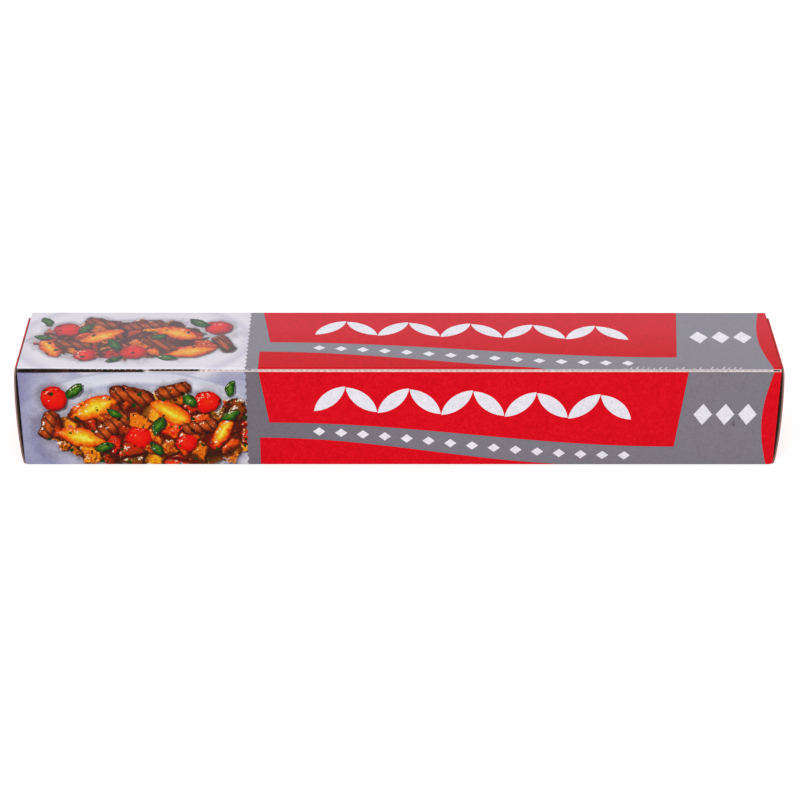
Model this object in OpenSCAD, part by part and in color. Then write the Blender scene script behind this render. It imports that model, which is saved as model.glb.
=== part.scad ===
// Household aluminium foil roll in its printed folding carton, lid closed.
// X runs along the roll, the front panel faces -Y, and Z = 0 is the underside of the carton.
// The lid hinges on the fold along the top of the back panel.

/* [Foil] */
// Width of the foil, along the roll
foil_width = 300; // [250:1:320]
// Length of foil wound on the core, in metres
foil_metres = 30; // [10:1:45]
// Thickness of one sheet of foil
foil_gauge = 0.011; // [0.009:0.001:0.018]
// Room that the turns take over solid metal, as a ratio
winding_slack = 1.08; // [1.02:0.01:1.3]
// Length of the loose end of the foil
tail_length = 18; // [8:1:25]
// Thickness that the loose end is drawn with
tail_stock = 0.15; // [0.1:0.05:0.3]
// Depth of the ridges that the edges of the turns leave on the ends of the roll
turn_ridge = 0.3; // [0.1:0.05:0.5]
// Ridges on each end of the roll
turn_ridges = 6; // [3:1:9]

/* [Core tube] */
// Outer diameter of the cardboard tube
core_d = 32; // [28:0.5:40]
// Wall of the cardboard tube
core_wall = 1.5; // [1:0.1:3]
// How far the tube stands out of the foil at each end
core_overhang = 0.5; // [0.2:0.1:1]

/* [Carton] */
// Thickness of the carton board
board = 0.5; // [0.35:0.05:0.6]
// Outer radius of every fold in the board
fold_radius = 0.8; // [0.7:0.05:1.2]
// Free length inside the carton beside the foil
room_length = 4; // [3.5:0.1:8]
// Free depth inside the carton beside the roll
room_depth = 8.85; // [7:0.05:14]
// Free height inside the carton above the roll
room_height = 5.25; // [4:0.05:10]
// Gap under the roll and behind it
roll_gap = 0.2; // [0.1:0.05:0.4]
// Length of the dust flaps that fold in from the front and back panels
dust_flap = 20; // [12:0.5:21]
// Glue line between the dust flaps and the foot of the end flaps
glue_line = 0.1; // [0.05:0.05:0.3]
// How far the glued end flaps bulge away from the dust flaps
end_bulge = 1.3; // [0.3:0.1:3]
// Radius of the upper corners of the end flaps
end_corner = 3; // [1:0.5:6]

/* [Lid] */
// Length of the flap that tucks in behind the front panel
tuck_length = 13; // [8:0.5:16]
// How far the tuck flap stops short of each end of the carton
tuck_inset = 2.5; // [1.5:0.1:8]
// Slope cut off the corners of the tuck flap
tuck_corner = 6; // [2:0.5:10]
// Clearance between the cutter strip and the tuck flap
tuck_gap = 0.35; // [0.3:0.05:0.6]
// Clearance between the lid and the top edges of the walls
lid_gap = 0.25; // [0.2:0.05:0.5]

/* [Cutter strip] */
// Thickness of the metal strip
strip_thickness = 0.25; // [0.15:0.05:0.4]
// Height of the strip below its teeth
strip_height = 7; // [4:0.5:10]
// How far the strip stops short of each end of the carton
strip_inset = 2; // [1.5:0.5:10]
// Spacing of the teeth
tooth_pitch = 2.3; // [1.5:0.1:4]
// Height of the teeth
tooth_height = 0.8; // [0.5:0.05:1.2]
// How far the tooth tips stay below the top of the lid
tooth_drop = 0.3; // [0.1:0.05:0.6]

/* [Print] */
// Thickness that the printed fields are drawn with
ink = 0.1; // [0.05:0.01:0.12]
// Width of the picture field at the left
picture_width = 92; // [60:1:110]
// Pitch of the scallops along the edge of the picture field
scallop_pitch = 3.2; // [2:0.1:6]
// Width of the plain block at the right, beside the red field
right_block = 41; // [30:1:60]
// Grey between the picture field and the red fields
red_start = 8; // [4:1:16]
// Width of the red stripe at the right end
end_stripe = 4.5; // [2:0.5:10]
// Spacing of the leaves in the white garland
leaf_pitch = 12.8; // [12:0.1:20]
// Length of a garland leaf
leaf_length = 17; // [8:0.5:18]
// Spacing of the lozenges in the white row under the garland
row_pitch = 8.85; // [7:0.05:14]
// Width of the lozenges in that row
row_lozenge = 5; // [3:0.5:6]
// Width of each of the three lozenges at the right
lozenge_w = 7.5; // [4:0.5:8]
// Height of the red band along the back panel
back_band = 12; // [4:1:30]

/* [Wear] */
// Length of the crushed lower right corner of the front panel
crush_length = 2.8; // [0.5:0.1:4]
// Height of the crushed corner
crush_height = 1.3; // [0.2:0.1:2]

/* [Hidden] */

core_r = core_d / 2;
wound_area = foil_metres * 1000 * foil_gauge * winding_slack;
roll_r = sqrt(core_r * core_r + wound_area / PI);
core_length = foil_width + 2 * core_overhang;

length = foil_width + room_length + 2 * board;
depth = 2 * roll_r + room_depth + 2 * board;
height = 2 * roll_r + room_height + 2 * board;
end_x = length / 2;
front_y = -depth / 2;
back_y = depth / 2;
wall_top = height - fold_radius - lid_gap;
fold_inner = fold_radius - board;

roll_y = back_y - board - roll_gap - roll_r;
roll_z = board + roll_gap + roll_r;

strip_y = front_y + board;
lid_y = strip_y + strip_thickness + tuck_gap;
tip_z = height - tooth_drop;
root_z = tip_z - tooth_height;

// The lid turns about the crease, just outside the back panel
crease_gap = 0.05;
crease_y = back_y + ink + crease_gap;
crease_z = height - fold_radius;
lid_reach = crease_y - lid_y;
// The tuck flap leans in far enough, in degrees, to swing clear of the strip
swing_room = 1;
tuck_lean = asin(tuck_length / (2 * lid_reach)) + swing_room;

fold_steps = 6;
curve_steps = 16;
picture_edge = -end_x + picture_width;
red_x0 = picture_edge + red_start;
red_x1 = end_x - right_block;
red_width = red_x1 - red_x0;
// Pieces that meet at a fold run this far into each other
lap = 0.5;
// Shapes that cut run this far past what they cut
past = 1;

function arc(centre, r, from, to, steps = fold_steps) =
    [for (i = [0:steps]) let (a = from + (to - from) * i / steps) centre + r * [cos(a), sin(a)]];
function reversed(path) = [for (i = [len(path) - 1:-1:0]) path[i]];
function band(outer, inner) = concat(outer, reversed(inner));
function flipped(path) = [for (p = reversed(path)) [-p[0], p[1]]];

// Draws a section given as [y, z] points and pulls it out along X
module along_x(from, to) {
    translate([from, 0, 0]) rotate([90, 0, 90]) linear_extrude(to - from) children();
}

// Draws a section given as [x, z] points and pulls it out along Y
module along_y(from, to) {
    translate([0, to, 0]) rotate([90, 0, 0]) linear_extrude(to - from) children();
}

// Long panel with a dust flap folded in at each end, seen from above, for the front
function wall_path(r, skin) = concat(
    [[-end_x + skin, front_y + dust_flap]],
    arc([-end_x + fold_radius, front_y + fold_radius], r, 180, 270),
    arc([end_x - fold_radius, front_y + fold_radius], r, 270, 360),
    [[end_x - skin, front_y + dust_flap]]);

module long_wall() {
    translate([0, 0, fold_radius]) linear_extrude(wall_top - fold_radius)
        polygon(band(wall_path(fold_radius, 0), wall_path(fold_inner, board)));
}

// Fold between the front panel and the bottom, from one panel into the other
function bottom_path(r, skin) = concat(
    [[front_y + skin, fold_radius + lap]],
    arc([front_y + fold_radius, fold_radius], r, 180, 270),
    [[front_y + fold_radius + lap, skin]]);

module bottom_fold() {
    along_x(-end_x + fold_radius, end_x - fold_radius)
        polygon(band(bottom_path(fold_radius, 0), bottom_path(fold_inner, board)));
}

// Gap between a dust flap and the end flap, which bulges most about its middle
bulge_sweep = 168;
function end_gap(t) = glue_line + end_bulge * pow(sin(bulge_sweep * t), 0.6);

function end_path(r, skin) = concat(
    arc([end_x + glue_line + board - fold_radius, fold_radius], r, 270, 360),
    [for (i = [1:curve_steps]) let (t = i / curve_steps)
        [end_x + end_gap(t) + board - skin, fold_radius + t * (wall_top - fold_radius)]]);

// Gives what it holds the outline of an end flap, seen along X
module end_outline() {
    half = depth / 2 - fold_radius;
    intersection() {
        along_y(-half, half) children();
        along_x(-length, length)
            polygon(concat([[-half, -past], [half, -past]],
                arc([half - end_corner, wall_top - end_corner], end_corner, 0, 90),
                arc([-half + end_corner, wall_top - end_corner], end_corner, 90, 180)));
    }
}

// Bottom panel with the end flaps that fold up from it
module bottom_and_ends() {
    outer = end_path(fold_radius, 0);
    inner = end_path(fold_inner, board);
    end_outline() polygon(band(concat(flipped(outer), outer), concat(flipped(inner), inner)));
}

// Corner of the front panel that is crushed in, seen from the front
module crushed_corner() {
    along_y(front_y - past, front_y + fold_radius) polygon([[end_x - crush_length, -past],
        [end_x - crush_length, 0], [end_x - fold_radius, crush_height / 3], [end_x, crush_height],
        [end_x + past, crush_height], [end_x + past, -past]]);
}

// Tray of the carton: one blank, folded and glued at its ends
module carton() color("lightgray") difference() {
    union() {
        bottom_and_ends();
        for (side = [0, 1]) mirror([0, side, 0]) {
            long_wall();
            bottom_fold();
        }
    }
    crushed_corner();
}

// Outline of the lid in section, from the crease over the top to the front fold
lid_fold = [lid_y + fold_radius, height - fold_radius];
function lid_path(r) = concat(
    arc([back_y - fold_radius, height - fold_radius], r, 0, 90),
    arc(lid_fold, r, 90, 180));

// The front fold runs on until the tuck flap leans in
function tuck_end(r) = lid_fold + r * [-cos(tuck_lean), -sin(tuck_lean)]
    + tuck_length * [sin(tuck_lean), -cos(tuck_lean)];
function tuck_path(r) =
    concat(lid_path(r), arc(lid_fold, r, 180, 180 + tuck_lean, 1), [tuck_end(r)]);

// Top panel with the flap that tucks in behind the front panel
module lid() color("gainsboro") union() {
    tuck_x = end_x - board - tuck_inset;
    tuck_z = tuck_end(fold_radius)[1];
    along_x(-end_x, end_x)
        polygon(band(lid_path(fold_radius), lid_path(fold_inner)));
    intersection() {
        along_x(-tuck_x, tuck_x) polygon(band(tuck_path(fold_radius), tuck_path(fold_inner)));
        along_y(front_y, back_y + past)
            polygon([[-tuck_x, height], [-tuck_x, tuck_z + tuck_corner],
                     [-tuck_x + tuck_corner, tuck_z - past],
                     [tuck_x - tuck_corner, tuck_z - past],
                     [tuck_x, tuck_z + tuck_corner], [tuck_x, height]]);
    }
}

// Serrated metal strip glued behind the top edge of the front panel
module cutter_strip() color("silver") {
    half = end_x - board - strip_inset;
    teeth = floor(2 * half / tooth_pitch);
    start = -teeth * tooth_pitch / 2;
    along_y(strip_y, strip_y + strip_thickness)
        polygon(concat(
            [[half, root_z], [half, root_z - strip_height],
             [-half, root_z - strip_height], [-half, root_z]],
            [for (i = [0:teeth - 1], p = [[0, root_z], [0.5, tip_z]])
                [start + (i + p[0]) * tooth_pitch, p[1]]],
            [[-start, root_z]]));
}

// Cardboard tube that the foil is wound on
module core_tube() color("tan") translate([0, roll_y, roll_z]) rotate([0, 90, 0])
    difference() {
        cylinder(h = core_length, r = core_r, center = true, $fn = 96);
        cylinder(h = core_length + past, r = core_r - core_wall, center = true, $fn = 96);
    }

// Ridged edge of the turns on one end of the roll, as [radius, distance] points
ridge_step = (roll_r - core_r) / turn_ridges;
ridge_edge = [for (i = [0:turn_ridges - 1], p = [[0, 1], [0.5, 0]])
    [core_r + (i + p[0]) * ridge_step, foil_width / 2 - p[1] * turn_ridge]];

// The loose end leaves the last turn past its top and lifts off the roll towards its edge
tail_start = 95;
tail_lift = 1.6;
function tail_under(t) = t < 0.3 ? 0.99 * roll_r : roll_r + tail_lift * t * t;
function tail_over(t) = roll_r + tail_lift * t * t + tail_stock * min(1, 4 * t);
function tail_path(radii) = let (sweep = tail_length / roll_r * 180 / PI)
    [for (i = [0:curve_steps]) let (a = tail_start + sweep * i / curve_steps)
        radii[i] * [cos(a), sin(a)]];

// All the turns of foil, with the loose end over the top
module foil_roll() color("whitesmoke") translate([0, roll_y, roll_z]) union() {
    edge = concat(ridge_edge, [[roll_r, foil_width / 2 - turn_ridge]]);
    rotate([0, 90, 0]) rotate_extrude($fn = 96)
        polygon(concat(edge, [for (p = reversed(edge)) [p[0], -p[1]]]));
    half = foil_width / 2 - turn_ridge;
    along_x(-half, half) polygon(band(
        tail_path([for (i = [0:curve_steps]) tail_over(i / curve_steps)]),
        tail_path([for (i = [0:curve_steps]) tail_under(i / curve_steps)])));
}

// Leaf with two pointed ends, lying along X
module leaf(size, fullness = 0.36) {
    half_w = size * fullness / 2;
    r = (size * size / 4 + half_w * half_w) / (2 * half_w);
    intersection() {
        translate([0, r - half_w]) circle(r, $fn = 64);
        translate([0, half_w - r]) circle(r, $fn = 64);
    }
}

// Bar with round ends, lying along X
module baton(size, thick) {
    square([size - thick, thick], center = true);
    for (side = [-1, 1]) translate([side * (size - thick) / 2, 0]) circle(thick / 2, $fn = 32);
}

module lozenge(w, h) polygon([[w / 2, 0], [0, h / 2], [-w / 2, 0], [0, -h / 2]]);

// Pieces of food in the picture field, as [share of its width, share of its height,
// length as a share of the field's height or half its width, angle]
tomatoes = [[0.15, 0.72, 0.25, 0], [0.51, 0.30, 0.26, 0], [0.82, 0.68, 0.24, 0],
            [0.72, 0.24, 0.21, 0]];
wedges = [[0.33, 0.62, 0.52, 24], [0.66, 0.56, 0.50, -32], [0.26, 0.30, 0.48, -14],
          [0.88, 0.36, 0.38, 62]];
slices = [[0.49, 0.75, 0.42, -12], [0.40, 0.43, 0.44, 40], [0.78, 0.42, 0.36, 12],
          [0.12, 0.44, 0.33, 70], [0.67, 0.80, 0.34, 18]];
herbs = [[0.24, 0.80, 0.22, 40], [0.41, 0.56, 0.18, -30], [0.60, 0.42, 0.22, 64],
         [0.74, 0.70, 0.20, -50], [0.92, 0.54, 0.18, 20], [0.36, 0.20, 0.20, 12],
         [0.59, 0.17, 0.16, -40], [0.92, 0.82, 0.18, 70]];

// Puts a piece of food at each place in a list, inside the picture field; where $way is -1,
// as on the lid, the picture lies the other way round
$way = 1;
module placed(list, h) intersection() {
    picture_field(h);
    for (p = list) let (across = 0.5 + $way * (p[0] - 0.5))
        translate([-end_x + across * picture_width, p[1] * h]) rotate($way * p[3]) {
            $size = p[2] * min(h, picture_width / 2);
            children();
        }
}

module herb_shapes(h) placed(herbs, h) leaf($size, 0.5);
module tomato_shapes(h) placed(tomatoes, h) circle($size / 2, $fn = 40);
module wedge_shapes(h) placed(wedges, h) leaf($size, 0.42);
module slice_shapes(h) placed(slices, h) baton($size, $size * 0.42);

// Plain field with a scalloped edge, which carries the picture
module picture_field(h) {
    translate([-end_x - past, -past]) square([picture_width + past, h + 2 * past]);
    for (i = [0:ceil(h / scallop_pitch)])
        translate([picture_edge, i * scallop_pitch]) circle(scallop_pitch / 2, $fn = 24);
}

// Curve that falls smoothly from a to b as t goes from 0 to 1
function falling(a, b, t) = b + (a - b) * (1 + cos(180 * t)) / 2;

// The red field behind the garland ends below in one falling curve, and the red wedge along
// the lower edge starts left of it and ends above in another, as shares of the height
red_slant = 4;
wedge_x0 = red_x0 - red_slant;
wedge_length = 0.85 * red_width;
function field_foot(x) = falling(0.46, 0.2, (x - red_x0) / red_width);
function wedge_crest(x) = falling(0.3, 0, min(1, (x - wedge_x0) / wedge_length));

// Red fields: one behind the garland, one along the lower edge and one at the right end
module red_fields(h) {
    polygon(concat(
        [for (i = [0:curve_steps]) let (x = red_x0 + red_width * i / curve_steps)
            [x, h * field_foot(x)]],
        [[red_x1 + red_slant, h + past], [red_x0 - red_slant, h + past]]));
    polygon(concat(
        [[wedge_x0, -past]],
        [for (i = [0:curve_steps]) let (x = wedge_x0 + wedge_length * i / curve_steps)
            [x, h * wedge_crest(x)]],
        [[wedge_x0 + wedge_length, -past]]));
    polygon(concat([[end_x + past, -past], [end_x + past, h + past]],
        [for (i = [0:curve_steps]) let (t = 1 - i / curve_steps)
            [end_x - end_stripe * (0.6 + 0.8 * sin(180 * t)), (h + 2 * past) * t - past]]));
}

// White ornaments: a garland on the red field, a row under it and three lozenges at the right
ornament_margin = 20;
lozenge_gap = 1.5;
module white_shapes(h) {
    span = red_width - 2 * ornament_margin;
    leaves = floor(span / leaf_pitch) + 1;
    for (i = [0:leaves - 1]) let (t = (i + 0.5) / leaves)
        translate([red_x0 + red_width / 2 + (i - (leaves - 1) / 2) * leaf_pitch,
                   h * (0.72 - 0.1 * t)])
            rotate(i % 2 == 0 ? 42 : -42) leaf(leaf_length);
    lozenges = floor(span / row_pitch) + 1;
    for (i = [0:lozenges - 1])
        let (x = red_x0 + red_width / 2 + (i - (lozenges - 1) / 2) * row_pitch)
            translate([x, h * (field_foot(x) + wedge_crest(x)) / 2])
                lozenge(row_lozenge, 0.8 * row_lozenge);
    block_x = (red_x1 + end_x - end_stripe) / 2 + lozenge_gap;
    for (i = [-1:1]) translate([block_x + i * (lozenge_w + lozenge_gap), h * 0.55])
        lozenge(lozenge_w, 4 / 3 * lozenge_w);
}

// Skin round the upright corners, where the front panel turns into its dust flaps
module corner_skins() {
    centre = [end_x - fold_radius, front_y + fold_radius];
    last = fold_steps - 1;
    for (side = [0, 1]) mirror([side, 0, 0]) translate([0, 0, fold_radius])
        linear_extrude(wall_top - fold_radius) polygon(band(
            arc(centre, fold_radius + ink, 270, 270 + 90 * last / fold_steps, last),
            arc(centre, fold_radius, 270, 270 + 90 * last / fold_steps, last)));
}

// Cuts a field out of the skin of the front panel, which runs into the bottom fold
module on_front() difference() {
    centre = [front_y + fold_radius, fold_radius];
    intersection() {
        union() {
            along_x(-end_x + fold_radius, end_x - fold_radius) polygon(band(
                concat([[front_y - ink, wall_top]], arc(centre, fold_radius + ink, 180, 225)),
                concat([[front_y, wall_top]], arc(centre, fold_radius, 180, 225))));
            corner_skins();
        }
        along_y(front_y - past, front_y + past) children();
    }
    crushed_corner();
}

// Cuts a field out of the skin of the lid, which runs over its folds
module on_lid() {
    $way = -1;
    intersection() {
        along_x(-end_x, end_x)
            polygon(band(lid_path(fold_radius + ink), lid_path(fold_radius)));
        translate([0, front_y, height / 2]) linear_extrude(height) children();
    }
}

// Fields of colour on the panels, none of which lies over another
module grey_field(h) difference() {
    translate([-length, -past]) square([2 * length, h + 2 * past]);
    picture_field(h);
    red_fields(h);
    white_shapes(h);
}
module red_field(h) difference() { red_fields(h); white_shapes(h); }
module pale_picture(h) difference() {
    picture_field(h);
    herb_shapes(h);
    tomato_shapes(h);
    wedge_shapes(h);
    slice_shapes(h);
}
module red_picture(h) difference() { tomato_shapes(h); herb_shapes(h); }
module orange_picture(h) difference() { wedge_shapes(h); herb_shapes(h); tomato_shapes(h); }
module brown_picture(h) difference() {
    slice_shapes(h);
    herb_shapes(h);
    tomato_shapes(h);
    wedge_shapes(h);
}

// Cuts a field out of the skin of the back panel, below the crease
module on_back() intersection() {
    union() {
        translate([-end_x + fold_radius, back_y, fold_radius])
            cube([length - 2 * fold_radius, ink, wall_top - fold_radius]);
        mirror([0, 1, 0]) corner_skins();
    }
    along_y(back_y - past, back_y + past) children();
}

// Stripe across the whole back panel
module back_stripe(from, tall) translate([-end_x - past, from]) square([length + 2 * past, tall]);
module back_field() back_stripe((wall_top - back_band) / 2, back_band);

module front_grey_print() color("gray") on_front() grey_field(wall_top);
module front_red_print() color("crimson") on_front() red_field(wall_top);
module front_white_print() color("white") on_front() white_shapes(wall_top);
module front_picture_pale() color("lavender") on_front() pale_picture(wall_top);
module front_picture_red() color("firebrick") on_front() red_picture(wall_top);
module front_picture_brown() color("sienna") on_front() brown_picture(wall_top);
module front_picture_orange() color("darkorange") on_front() orange_picture(wall_top);
module front_picture_green() color("green") on_front() herb_shapes(wall_top);

module lid_grey_print() color("darkgray") on_lid() grey_field(depth);
module lid_red_print() color("indianred") on_lid() red_field(depth);
module lid_white_print() color("white") on_lid() white_shapes(depth);
module lid_picture_pale() color("lavender") on_lid() pale_picture(depth);
module lid_picture_red() color("indianred") on_lid() red_picture(depth);
module lid_picture_brown() color("peru") on_lid() brown_picture(depth);
module lid_picture_orange() color("sandybrown") on_lid() orange_picture(depth);
module lid_picture_green() color("olivedrab") on_lid() herb_shapes(depth);

module back_grey_print() color("gray") on_back() difference() {
    back_stripe(0, height);
    back_field();
}
module back_red_print() color("crimson") on_back() back_field();

module end_red_print() color("crimson") {
    outer = end_path(fold_radius + ink, -ink);
    inner = end_path(fold_radius, 0);
    for (side = [0, 1]) mirror([side, 0, 0]) intersection() {
        end_outline() polygon(band(outer, inner));
        translate([0, -depth, ink]) cube([length, 2 * depth, height]);
    }
}

carton();
cutter_strip();
core_tube();
foil_roll();
lid();
front_grey_print();
front_red_print();
front_white_print();
front_picture_pale();
front_picture_red();
front_picture_brown();
front_picture_orange();
front_picture_green();
lid_grey_print();
lid_red_print();
lid_white_print();
lid_picture_pale();
lid_picture_red();
lid_picture_brown();
lid_picture_orange();
lid_picture_green();
back_grey_print();
back_red_print();
end_red_print();
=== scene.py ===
import math

import bmesh
import bpy
from mathutils import Matrix, Vector, noise


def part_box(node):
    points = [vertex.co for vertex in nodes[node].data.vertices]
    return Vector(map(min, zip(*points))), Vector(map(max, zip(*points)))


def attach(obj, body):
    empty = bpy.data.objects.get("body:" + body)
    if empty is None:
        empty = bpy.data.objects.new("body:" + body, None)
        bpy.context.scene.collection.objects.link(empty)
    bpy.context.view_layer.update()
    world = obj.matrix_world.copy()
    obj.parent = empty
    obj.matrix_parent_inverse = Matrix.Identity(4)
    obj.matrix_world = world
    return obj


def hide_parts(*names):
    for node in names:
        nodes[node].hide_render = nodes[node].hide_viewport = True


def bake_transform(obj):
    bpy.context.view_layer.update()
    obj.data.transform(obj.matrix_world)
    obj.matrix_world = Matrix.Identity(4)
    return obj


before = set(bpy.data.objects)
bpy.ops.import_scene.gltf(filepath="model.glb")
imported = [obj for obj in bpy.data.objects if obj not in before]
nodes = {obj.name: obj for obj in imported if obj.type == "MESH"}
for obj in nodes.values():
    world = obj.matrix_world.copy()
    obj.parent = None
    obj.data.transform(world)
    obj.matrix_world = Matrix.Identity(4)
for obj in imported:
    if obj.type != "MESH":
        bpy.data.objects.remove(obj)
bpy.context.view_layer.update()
mm = 0.001

# the carton in millimetres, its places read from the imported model
frontInk, lidInk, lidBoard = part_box("front_grey_print"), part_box("lid_grey_print"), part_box("lid")
blank = {
    "left": lidBoard[0].x / mm,
    "right": lidBoard[1].x / mm,
    "front": frontInk[0].y / mm,
    "back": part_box("back_grey_print")[1].y / mm,
    "wallTop": frontInk[1].z / mm,
    "top": lidInk[1].z / mm,
    "lidFront": lidInk[0].y / mm,
    "fold": 0.8,  # outside radius of the folds
    "ink": 0.1,
}
blank["frontBoard"] = blank["front"] + blank["ink"]
blank["depth"] = -2 * blank["frontBoard"]


# shader maths

def lin(red, green, blue):  # a colour as a screen shows it, 0 to 255, made linear
    parts = [c / 255 for c in (red, green, blue)]
    return [c / 12.92 if c < 0.04045 else ((c + 0.055) / 1.055) ** 2.4 for c in parts] + [1]


class Wire:  # a socket of a finish; sums on it become Math nodes
    def __init__(self, finish, socket):
        self.finish, self.socket = finish, socket

    def __add__(self, other):
        return self.finish.maths("ADD", self, other)

    def __radd__(self, other):
        return self.finish.maths("ADD", other, self)

    def __sub__(self, other):
        return self.finish.maths("SUBTRACT", self, other)

    def __rsub__(self, other):
        return self.finish.maths("SUBTRACT", other, self)

    def __mul__(self, other):
        return self.finish.maths("MULTIPLY", self, other)

    def __truediv__(self, other):
        return self.finish.maths("DIVIDE", self, other)

    def __pow__(self, other):
        return self.finish.maths("POWER", self, other)

    def __lt__(self, other):
        return self.finish.maths("LESS_THAN", self, other)

    def __gt__(self, other):
        return self.finish.maths("GREATER_THAN", self, other)

    def __abs__(self):
        return self.finish.maths("ABSOLUTE", self)

    def fract(self):
        return self.finish.maths("FRACT", self)

    def least(self, other):
        return self.finish.maths("MINIMUM", self, other)

    def most(self, *others):
        top = self
        for other in others:
            top = self.finish.maths("MAXIMUM", top, other)
        return top


class Finish:  # the nodes of a material, or of the world, while they are put together
    def __init__(self, owner):
        self.owner = owner
        self.owner.use_nodes = True
        self.tree = self.owner.node_tree
        self.tree.nodes.clear()

    def add(self, kind, settings=None, sockets=None, out=0):
        node = self.tree.nodes.new("ShaderNode" + kind)
        for key, value in (settings or {}).items():
            if key == "stops":
                setStops(node.color_ramp, value)
            else:
                setattr(node, key, value)
        for key, value in (sockets or {}).items():
            if isinstance(value, Wire):
                self.tree.links.new(value.socket, node.inputs[key])
            else:
                node.inputs[key].default_value = value
        return Wire(self, node.outputs[out]) if node.outputs else None

    def maths(self, operation, *values):
        return self.add("Math", {"operation": operation}, dict(enumerate(values)))

    def vectorMaths(self, operation, *values):
        out = 1 if operation in ("LENGTH", "DISTANCE") else 0
        return self.add("VectorMath", {"operation": operation}, dict(enumerate(values)), out)

    def scaled(self, vector, size):
        return self.add("VectorMath", {"operation": "SCALE"}, {0: vector, "Scale": size})

    def stretched(self, vector, sizes):  # squeezes a pattern along the axes
        return self.vectorMaths("MULTIPLY", vector, sizes)

    def place(self):  # where a point is on the part, in millimetres
        return self.scaled(self.add("TexCoord", out="Object"), 1 / mm)

    def axes(self, vector):
        split = self.add("SeparateXYZ", None, {0: vector}).socket.node
        return [Wire(self, split.outputs[i]) for i in range(3)]

    def vector(self, x=0, y=0, z=0):
        return self.add("CombineXYZ", None, {0: x, 1: y, 2: z})

    def grain(self, spot, scale, detail=2, roughness=0.5, distortion=0, out=0):
        return self.add("TexNoise", None, {"Vector": spot, "Scale": scale, "Detail": detail,
                                           "Roughness": roughness, "Distortion": distortion}, out)

    def rise(self, value, low, high):  # 0 below low, 1 above high, smooth between
        return self.add("MapRange", {"interpolation_type": "SMOOTHSTEP"},
                        {0: value, 1: low, 2: high, 3: 0.0, 4: 1.0})

    def window(self, value, low, high, soft):  # 1 between low and high
        return self.rise(value, low - soft, low + soft) * (
            1 - self.rise(value, high - soft, high + soft))

    def mix(self, share, a, b, way="MIX"):
        return self.add("Mix", {"data_type": "RGBA", "blend_type": way},
                        {0: share, 6: a, 7: b}, 2)

    def ramp(self, value, stops):
        return self.add("ValToRGB", {"stops": stops}, {0: value})

    def bump(self, height, strength, distance):
        return self.add("Bump", None, {"Height": height, "Strength": strength,
                                       "Distance": distance})

    def seen(self, *rays):  # 1 for light of these kinds
        path = self.add("LightPath").socket.node.outputs
        first, *others = [Wire(self, path[ray]) for ray in rays]
        return first.most(*others)

    def surface(self, sockets):
        shader = self.add("BsdfPrincipled", None, sockets)
        self.add("OutputMaterial", None, {0: shader})
        return self.owner


def newFinish(name):
    return Finish(bpy.data.materials.new(name))


def setStops(ramp, stops):
    ends = (stops[0], stops[-1])
    for element, (place, colour) in zip(ramp.elements, ends):
        element.position, element.color = place, colour
    for place, colour in stops[1:-1]:
        ramp.elements.new(place).color = colour


def dress(name, material, slot):
    nodes[name].data.materials.clear()
    nodes[name].data.materials.append(material)


# camera, light and floor

shot = {
    "lens": 102.8, "film": 36,
    "target": (0.18 * mm, -24.15 * mm, 30.63 * mm),
    "distance": 0.917,
    "elevation": 30.36, "yaw": -0.40, "roll": 0.22,  # degrees
}


def placeCamera():
    elevation, yaw, roll = (math.radians(shot[key]) for key in ("elevation", "yaw", "roll"))
    back = Vector((math.sin(yaw) * math.cos(elevation), -math.cos(yaw) * math.cos(elevation),
                   math.sin(elevation)))
    right = Vector((math.cos(yaw), math.sin(yaw), 0))
    level = Matrix((right, back.cross(right), back)).transposed().to_4x4()
    camera = bpy.data.objects.new("camera", bpy.data.cameras.new("camera"))
    camera.data.lens, camera.data.sensor_width = shot["lens"], shot["film"]
    camera.matrix_world = (Matrix.Translation(Vector(shot["target"]) + shot["distance"] * back)
                           @ level @ Matrix.Rotation(roll, 4, "Z"))
    bpy.context.scene.collection.objects.link(camera)
    bpy.context.scene.camera = camera
    bpy.context.scene.view_settings.view_transform = "Standard"


studio = {
    "sky": 0.66, "floorTone": 0.62, "floorLift": 0.6, "floorSize": 8,
    # each soft box: name, place, size in metres, watts
    "boxes": [("keyBox", (-0.5, -1.9, 1.45), (1.6, 1.1), 20.0),
              ("rightBox", (1.9, -0.9, 1.1), (0.9, 1.2), 5.5)],
}


def lightStudio():
    for name, place, size, watts in studio["boxes"]:
        lamp = bpy.data.lights.new(name, "AREA")
        lamp.shape, lamp.size, lamp.size_y, lamp.energy = "RECTANGLE", *size, watts
        box = bpy.data.objects.new(name, lamp)
        box.location = place
        box.rotation_euler = (-Vector(place)).to_track_quat("-Z", "Y").to_euler()
        bpy.context.scene.collection.objects.link(box)

    world = bpy.data.worlds.new("studio")
    f = Finish(world)
    seen = f.seen("Is Camera Ray", "Is Glossy Ray")
    level = f.add("MapRange", None, {"Value": seen, "To Min": studio["sky"]})
    sky = f.add("Background", None, {"Color": (1, 1, 1, 1), "Strength": level})
    f.add("OutputWorld", None, {0: sky})
    bpy.context.scene.world = world


def layFloor():
    bm = bmesh.new()
    bmesh.ops.create_grid(bm, x_segments=1, y_segments=1, size=studio["floorSize"] / 2)
    floor = meshObject("floor", bm)
    f = newFinish("whiteFloor")
    seen = f.seen("Is Camera Ray", "Is Glossy Ray", "Is Transmission Ray")
    tone = studio["floorTone"]
    paper = f.add("BsdfDiffuse", None, {"Color": (tone, tone, tone, 1)})
    glow = f.add("Emission", None, {"Color": (1, 1, 1, 1), "Strength": seen * studio["floorLift"]})
    both = f.add("AddShader", None, {0: paper, 1: glow})
    f.add("OutputMaterial", None, {0: both})
    floor.data.materials.append(f.owner)


def meshObject(name, bm):
    mesh = bpy.data.meshes.new(name)
    bm.to_mesh(mesh)
    bm.free()
    piece = bpy.data.objects.new(name, mesh)
    bpy.context.scene.collection.objects.link(piece)
    return piece


# printed board; all lengths in millimetres

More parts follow.
